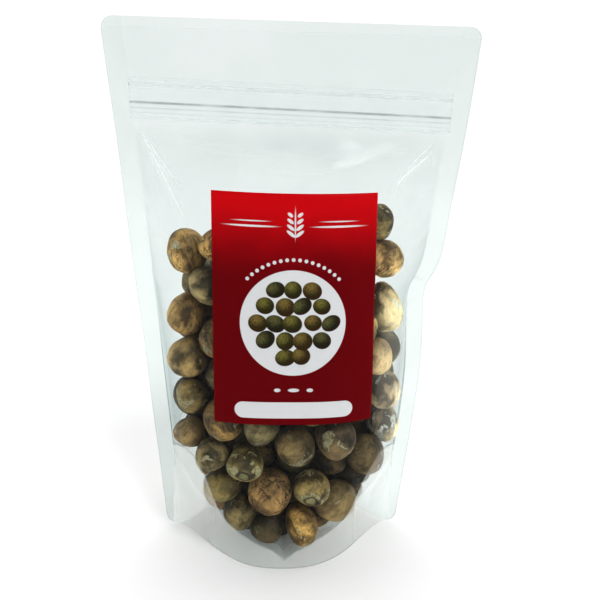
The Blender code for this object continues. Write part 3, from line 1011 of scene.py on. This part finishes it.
filmLook = {
    "lowTint": (0.812, 0.846, 0.838),
    "highTint": (0.835, 0.868, 0.860),      # where the film leans back over the nuts
    "highFrom": (100.0 * mm, 170.0 * mm),
    "headTint": (0.880, 0.908, 0.902),
    "headFrom": (206.0 * mm, 216.0 * mm),
    "sealTint": (0.868, 0.900, 0.890),
    "earTint": (0.976, 0.986, 0.983),       # inside the curved base seal
    "cloudTint": (0.93, 0.95, 0.945),
    "milk": (0.93, 0.96, 0.955, 1),
    "slopeTint": (0.60, 0.66, 0.66),        # seen along the film, as in a crease
    "clearScatter": 0.006,
    "sealScatter": 0.030,
    "earScatter": 0.100,
    "skirtScatter": 0.230,
    "creaseWhiteAndGlintScatter": 0.75,
    "sheenPlace": (52 * mm, -60 * mm, 105 * mm),
    "sheenHalf": (13 * mm, 60 * mm, 48 * mm),
    "sheenScatter": 0.22,
    "faceOnGloss": 0.007,
    "edgeOnGloss": 0.34,
    "roughness": 0.11,
}


def filmMaterial():
    # a thin wall: tint that deepens with slope, a little white scatter, a mirror gloss by angle
    material = newTree(bpy.data.materials.new("clear_film"))
    hazeAndGlintNames = ("sealHaze", "earHaze", "skirtHaze", "creaseWhiteAndGlint")
    seal, ear, skirt, crease = [carried(name) for name in hazeAndGlintNames]
    place = ownPlace()
    height = split(place)["Z"]
    cloud = noise(place, 30.0, 3.0)
    # a crease is a thin white line with a soft halo: partly whitened film, partly painted highlight
    fromCrease = calc("ABSOLUTE", carried("creaseSide"))
    line = times(rise(fromCrease, 0.10, 0.60, 0.75, 0.0), crease)
    halo = rise(fromCrease, 0.30, 3.00, 0.20, 0.0)
    crease = times(crease, calc("ADD", line, halo))
    facing = addNode("LayerWeight", Blend=0.5).outputs["Facing"]
    along = times(rise(facing, 0.2, 0.95, 0.0, 0.9), calc("SUBTRACT", 1.0, ear))
    upper, head = rise(height, *filmLook["highFrom"]), rise(height, *filmLook["headFrom"])
    clouds = rise(cloud, 0.42, 0.62, 0.0, 0.25)
    tint = filmLook["lowTint"]
    for share, layer in ((upper, "highTint"), (head, "headTint"), (seal, "sealTint"), (ear, "earTint"),
                         (clouds, "cloudTint"), (along, "slopeTint")):
        tint = blendColour(share, tint, filmLook[layer])
    # a painted sheen: white scatter on the front film over the right-hand nuts
    length = vector("LENGTH", fitRound(place, filmLook["sheenPlace"], filmLook["sheenHalf"]))
    sheen = times(within(length, 0.75, 1.25), rise(cloud, 0.30, 0.62, 0.45, 1.0))
    amount = filmLook["clearScatter"]
    scatters = ((seal, "sealScatter"), (ear, "earScatter"), (skirt, "skirtScatter"),
                (crease, "creaseWhiteAndGlintScatter"), (sheen, "sheenScatter"))
    for share, strength in scatters:
        amount = scaled(share, filmLook[strength], amount)
    clear = addNode("BsdfTransparent", Color=tint)
    scatter = addNode("BsdfDiffuse", Color=filmLook["milk"])
    glow = addNode("BsdfTranslucent", Color=filmLook["milk"])
    body = mixShader(amount, clear, mixShader(0.5, scatter, glow))
    shine = glossByAngle(filmLook["faceOnGloss"], filmLook["edgeOnGloss"])
    gloss = addNode("BsdfGlossy", Color=(1, 1, 1, 1), Roughness=filmLook["roughness"])
    showSurface(mixShader(shine, body, gloss))
    return material


filmPiece = makeFilm()
dress(filmPiece, filmMaterial(), "pouch")
print("film made", len(filmPiece.data.polygons))

# press zip: two welded tracks between the films
zipTrack = {
    "reachX": 70.0 * mm,
    "low": 214.5 * mm,
    "high": 232.0 * mm,
    "web": 0.16 * mm,
    "columns": 90,
    # height, half width and depth of each rib
    "ribs": [(film["zipHeight"], 0.8 * mm, 0.35 * mm), (film["guideHeight"], 0.5 * mm, 0.22 * mm),
             (217.2 * mm, 0.4 * mm, 0.15 * mm), (225.2 * mm, 0.4 * mm, 0.12 * mm)],
    "outer": 0.30 * mm,             # from the middle plane to the track's face
    # height, half width and strength of each line
    "greyLines": [(film["zipHeight"], 0.7 * mm, 0.34), (219.2 * mm, 0.5 * mm, 0.10),
                  (217.2 * mm, 0.4 * mm, 0.05)],
    # painted highlights: white along the guide rib and along a lower rib
    "whiteHighlightLines": [(film["guideHeight"], 1.0 * mm, 0.55), (215.5 * mm, 0.6 * mm, 0.2)],
    "clear": (0.993, 0.997, 0.996),
    "grey": (0.55, 0.58, 0.58),
    "white": (0.96, 0.97, 0.97, 1),
}


def makeZipTrack(name, facing):
    # a flat strip with ribs, its outline carried along the pouch's width
    z = np.linspace(zipTrack["low"], zipTrack["high"], 60)
    outer = np.full_like(z, zipTrack["outer"])
    for height, halfWidth, size in zipTrack["ribs"]:
        outer += size * np.exp(-((z - height) / halfWidth) ** 4)
    inner = np.full_like(z, zipTrack["outer"] - zipTrack["web"])
    outer -= 0.5 * zipTrack["web"] * (1.0 - smoothStep(0.0, 1.2 * mm, np.minimum(z - z[0], z[-1] - z)))
    profile = np.concatenate([np.stack([outer, z], axis=1), np.stack([inner, z], axis=1)[::-1]])
    across = np.linspace(-zipTrack["reachX"], zipTrack["reachX"], zipTrack["columns"])
    flat = 1.0 - 0.55 * smoothStep(zipTrack["reachX"] - 4 * mm, zipTrack["reachX"], np.abs(across))
    x = np.repeat(across[:, None], len(profile), axis=1)
    z = profile[:, 1] - film["zipTilt"] * x
    y = facing * profile[:, 0] * flat[:, None] - lean(z) + sheetBend(x, z)
    quads = gridFaces(len(across), len(profile), wrapColumns=True)
    end = np.arange(len(profile))
    ends = [tuple(end), tuple(end[::-1] + (len(across) - 1) * len(profile))]
    if facing < 0:
        quads = quads[:, ::-1]
        ends = [face[::-1] for face in ends]
    return meshObject(name, np.stack([x, y, z], axis=-1), quads, ends)


def zipMaterial():
    # nearly clear, with a grey closing line along its length and white along the ribs, a painted highlight
    material = newTree(bpy.data.materials.new("zip_plastic"))
    place = ownPlace()
    apart = split(place)
    level = scaled(apart["X"], film["zipTilt"], apart["Z"])
    streak = noise(stretch(place, (45, 0, 0)), 1.0, 3.0)

    def lines(table):
        # the strongest of several broken lines
        strongest = 0.0
        for lineHeight, halfWidth, strength in table:
            away = calc("ABSOLUTE", calc("SUBTRACT", level, lineHeight))
            broken = rise(streak, 0.35, 0.6, 0.4 * strength, strength)
            line = times(within(away, halfWidth * 0.3, halfWidth), broken)
            strongest = calc("MAXIMUM", strongest, line)
        return strongest

    tint = blendColour(lines(zipTrack["greyLines"]), zipTrack["clear"], zipTrack["grey"])
    clear = addNode("BsdfTransparent", Color=tint)
    milk = addNode("BsdfPrincipled", Base_Color=zipTrack["white"], Roughness=0.25)
    # the white along the ribs is painted highlight
    body = mixShader(calc("ADD", lines(zipTrack["whiteHighlightLines"]), 0.01), clear, milk)
    gloss = addNode("BsdfGlossy", Color=(1, 1, 1, 1), Roughness=0.12)
    showSurface(mixShader(glossByAngle(0.015, 0.5), body, gloss))
    return material


zipPlastic = zipMaterial()
for trackName, facing in (("zip_track_front", -1.0), ("zip_track_back", 1.0)):
    dress(makeZipTrack(trackName, facing), zipPlastic, "pouch")
print("zip made")

# label
labelLook = {
    "columns": 74,
    "rows": 104,
    "gap": 0.10 * mm,
    "thickness": 0.20 * mm,
    "red": (0.62, 0.003, 0.009),            # at the head
    # painted shade: the red that the ground darkens to towards the label's foot
    "paintedShadeRed": (0.165, 0.0012, 0.0045),
    "redThrough": (0.97, 0.010, 0.030),     # light that comes through the sheet
    "white": (0.86, 0.87, 0.88),
    "through": 0.36,
    "disc": (-0.7, 48.3, 24.0),                 # middle and radius, mm from the label's middle and foot
    "pill": (0.0, 7.3, 27.5, 4.0),              # middle, half length, half height
    "softEdge": 0.12,                           # mm, half the width of an edge in the print
    "beadArc": (28.5, 0.85, 17, 46.0),          # radius, bead radius, number, half angle in degrees
    "pile": (2, 4, 5, 4, 3),                    # drawn nuts in each row, from the lowest
    "pileStep": (8.3, 7.6),                     # between nuts in a row, and between rows
    "pileFoot": 15.2,                           # of the lowest row, under the round's middle
    "stem": (92.2, 0.35, 6.4),                  # middle height, half widths
    "lozenges": (17.2, 7.5, (1.5, 2.6, 1.5), 0.9),     # height, step, half widths, half height
    # ellipses of the sprig with its rules: middle, half widths and turn, mirrored
    "sprig": [(1.9, 88.0, 2.3, 0.75, 0.65), (2.0, 90.7, 2.0, 0.75, 0.65), (2.1, 93.4, 1.7, 0.75, 0.65),
              (2.2, 96.1, 1.4, 0.75, 0.65), (19.5, 91.0, 11.5, 0.45, 0.0), (19.5, 93.2, 7.5, 0.3, 0.0)],
    "nutInks": [((0.035, 0.032, 0.010), (0.25, 0.22, 0.055)),
                ((0.045, 0.030, 0.010), (0.28, 0.20, 0.06)),
                ((0.022, 0.024, 0.012), (0.16, 0.15, 0.055))],
}


def labelPoint(across, up, outward):
    # the label lies on the smooth film, turned a little in its own plane
    z = labelFrame["low"] + up * (labelFrame["high"] - labelFrame["low"])
    middle = (labelFrame["low"] + labelFrame["high"]) / 2
    x = labelFrame["centreX"] + across * labelFrame["chord"] / 2 - labelFrame["turn"] * (z - middle)
    y = -plainReach(x, z) - lean(z) - labelLook["gap"] - outward
    return np.stack([x, y, z], axis=-1)


def makeLabel():
    # a thin closed sheet: its face, its back and the cut edge between them
    columns, rows = labelLook["columns"] + 1, labelLook["rows"] + 1
    up, across = np.meshgrid(np.linspace(0, 1, rows), np.linspace(-1, 1, columns), indexing="ij")
    face = labelPoint(across, up, labelLook["thickness"])
    rear = labelPoint(across, up, 0.0)
    size = rows * columns
    grid = np.arange(size).reshape(rows, columns)
    rim = np.concatenate([grid[0, :-1], grid[:-1, -1], grid[-1, :0:-1], grid[:0:-1, 0]])
    nextRim = np.roll(rim, -1)
    edge = np.stack([rim, rim + size, nextRim + size, nextRim], axis=1)
    quads = np.concatenate([gridFaces(rows, columns), gridFaces(rows, columns, first=size)[:, ::-1], edge])
    piece = meshObject("label_sheet", np.concatenate([face, rear]), quads)
    flat = np.stack([across * labelFrame["flatWidth"] / 2, up * labelFrame["flatHeight"], up * 0], axis=-1)
    pointValues(piece, "printPlace", np.concatenate([flat, flat]))
    return piece


def ellipseMask(place, middle, half, turn=0.0):
    # 1 inside an ellipse on the label, with a soft edge
    fitted = fitRound(place, (*middle, 0), (*half, 1), turn)
    edge = labelLook["softEdge"] / min(half)
    return within(vector("LENGTH", fitted), 1.0 - edge, 1.0 + edge), fitted


def labelMaterial():
    # red ground with plain shapes laid over it, in mm from the middle of the label's foot
    material = newTree(bpy.data.materials.new("printed_label"))
    place = carried("printPlace", "Vector")
    apart = split(place)
    grain = noise(place, 3.0, 4.0)
    # painted shade: the red ground darkens from the head towards the foot, along a wavy line
    shadeFade = scaled(noise(place, 0.05, 2.0), 16.0, apart["Y"])
    colour = blendColour(rise(shadeFade, 78.0, 110.0), labelLook["paintedShadeRed"], labelLook["red"])

    def lay(mask, ink=labelLook["white"]):
        nonlocal colour
        colour = blendColour(mask, colour, ink)

    def spotAt(middle, half, turn=0.0):
        lay(ellipseMask(place, middle, half, turn)[0])

    # white round with a pile of drawn nuts
    middleX, middleY, radius = labelLook["disc"]
    spotAt((middleX, middleY), (radius, radius))
    vein = rise(noise(place, 1.1, 4.0, 0.7), 0.48, 0.62, 0.0, 0.45)
    draw = np.random.default_rng(4)
    stepX, stepY = labelLook["pileStep"]
    for row, number in enumerate(labelLook["pile"]):
        for index in range(number):
            half = (4.3 + draw.uniform(-0.4, 0.4), 3.8 + draw.uniform(-0.3, 0.4))
            spotX = middleX + (index - (number - 1) / 2) * stepX + draw.uniform(-0.7, 0.7)
            spotY = middleY - labelLook["pileFoot"] + row * stepY + draw.uniform(-0.5, 0.5)
            mask, inner = ellipseMask(place, (spotX, spotY), half, draw.uniform(-0.7, 0.7))
            deep, pale = labelLook["nutInks"][(row * 2 + index) % 3]
            lit = within(vector("DISTANCE", inner, (-0.3, 0.4, 0)), 0.0, 1.25)
            tone = calc("SUBTRACT", lit, vein, clamp=True)
            lay(mask, blendColour(tone, deep, pale))
    # an arc of beads over the round
    arcRadius, beadRadius, beads, halfAngle = labelLook["beadArc"]
    for index in range(beads):
        angle = math.radians(90 - halfAngle + 2 * halfAngle * index / (beads - 1))
        bead = (middleX + arcRadius * math.cos(angle), middleY + arcRadius * math.sin(angle))
        spotAt(bead, (beadRadius, beadRadius))
    # a sprig with two rules on each side at the head
    for x, y, halfX, halfY, turn in labelLook["sprig"]:
        for side in (-1, 1):
            spotAt((side * x, y), (halfX, halfY), side * turn)
    stemY, stemHalf, stemHigh = labelLook["stem"]
    spotAt((0, stemY), (stemHalf, stemHigh))
    # three small lozenges under the round
    lozengeY, step, halves, high = labelLook["lozenges"]
    for side, half in zip((-1, 0, 1), halves):
        spotAt((side * step - 0.3, lozengeY), (half, high))
    # a plain bar with round ends at the foot
    barX, barY, barHalf, barHigh = labelLook["pill"]
    past = calc("ABSOLUTE", calc("SUBTRACT", apart["X"], barX))
    past = calc("MAXIMUM", calc("SUBTRACT", past, barHalf - barHigh), 0.0)
    high = calc("SUBTRACT", apart["Y"], barY)
    fromBar = calc("SQRT", scaled(high, high, times(past, past)))
    lay(within(fromBar, barHigh - labelLook["softEdge"], barHigh + labelLook["softEdge"]))
    bump = addNode("Bump", Strength=0.15, Distance=0.05 * mm, Height=grain)
    ink = addNode("BsdfPrincipled", Base_Color=colour, Normal=bump.outputs[0], Specular_IOR_Level=0.05,
                  Roughness=rise(grain, 0.3, 0.7, 0.30, 0.38))
    # paper glows with its own ink, the red ground more strongly
    green = addNode("SeparateColor", Color=colour).outputs["Green"]
    seen = blendColour(within(green, 0.0, 0.05), colour, labelLook["redThrough"])
    through = addNode("BsdfTranslucent", Color=seen)
    showSurface(mixShader(labelLook["through"], ink, through))
    return material


dress(makeLabel(), labelMaterial(), "label")
print("label made")

# studio
studio = {
    "floorRadius": 60.0,
    "floorColour": (0.86, 0.863, 0.863),
    # sky strength: dim high in front, white behind, brightest above and at the sides
    "frontLow": 0.95,
    "frontHigh": 0.05,
    "back": 1.06,
    "sides": 1.5,
    "above": 1.5,
    "lampTarget": (0.0, 0.0, 0.11),
    "sunFrom": (0.42, -0.55, 0.72),
    "sunStrength": 1.45,
    "sunWidth": math.radians(22),
    # name, place, size, power in watts
    "lamps": [
        ("lamp_top", (0.0, 0.25, 1.1), (0.9, 0.9), 2.0),
        ("lamp_left", (-0.9, 0.15, 0.35), (0.35, 0.9), 1.5),
        ("lamp_right", (0.9, 0.25, 0.35), (0.35, 0.9), 1.5),
    ],
}


def makeFloor():
    # a disc as rings of a polar grid round one middle point
    rings, around = 24, 96
    radius = studio["floorRadius"] * (np.arange(1, rings + 1) / rings) ** 2
    angle = np.linspace(0, 2 * math.pi, around, endpoint=False)
    r, a = np.meshgrid(radius, angle, indexing="ij")
    points = np.stack([r * np.cos(a), r * np.sin(a), r * 0], axis=-1).reshape(-1, 3)
    quads = gridFaces(rings, around, wrapColumns=True)[:, ::-1]
    centre = rings * around
    fans = [(centre, i, (i + 1) % around) for i in range(around)]
    floor = meshObject("floor", np.concatenate([points, [[0, 0, 0]]]), quads, fans)
    material = newTree(bpy.data.materials.new("pale_floor"))
    place = ownPlace()
    pale = studio["floorColour"]
    colour = blendColour(noise(place, 6.0, 2.0), pale, tuple(0.985 * value for value in pale))
    showSurface(addNode("BsdfDiffuse", Color=colour))
    floor.data.materials.append(material)


def aimBack(back):
    # a light shines along its own -Z, so its +Z points back to where it stands
    back = np.array([back])
    return turnTo(back / np.linalg.norm(back), np.zeros(1))[0]


def makeLights():
    # three area lamps, a wide sun and a white sky
    for name, place, size, power in studio["lamps"]:
        data = bpy.data.lights.new(name, "AREA")
        data.shape = "RECTANGLE"
        data.size, data.size_y = size
        data.energy = power
        addPlaced(data, aimBack(np.subtract(place, studio["lampTarget"])), place)
    sun = bpy.data.lights.new("key_light", "SUN")
    sun.energy, sun.angle = studio["sunStrength"], studio["sunWidth"]
    addPlaced(sun, aimBack(studio["sunFrom"]), (0, 0, 0))
    bpy.context.scene.world = newTree(bpy.data.worlds.new("soft_white"))
    apart = split(addNode("TexCoord").outputs["Generated"])
    sideways = rise(calc("ABSOLUTE", apart["X"]), 0.5, 0.85)
    strength = blend(sideways, studio["back"], studio["sides"])
    strength = blend(rise(apart["Z"], 0.12, 0.55), strength, studio["above"])
    inFront = rise(apart["Z"], 0.36, 0.66, studio["frontLow"], studio["frontHigh"])
    strength = blend(rise(apart["Y"], -0.3, 0.3), inFront, strength)
    showSurface(addNode("Background", Color=(1.0, 1.0, 1.0, 1), Strength=strength), "OutputWorld")


makeFloor()
makeLights()
bpy.context.scene.view_settings.view_transform = "Standard"
bpy.context.scene.view_settings.gamma = 0.9
bpy.context.scene.cycles.transparent_max_bounces = 32
print("studio made")
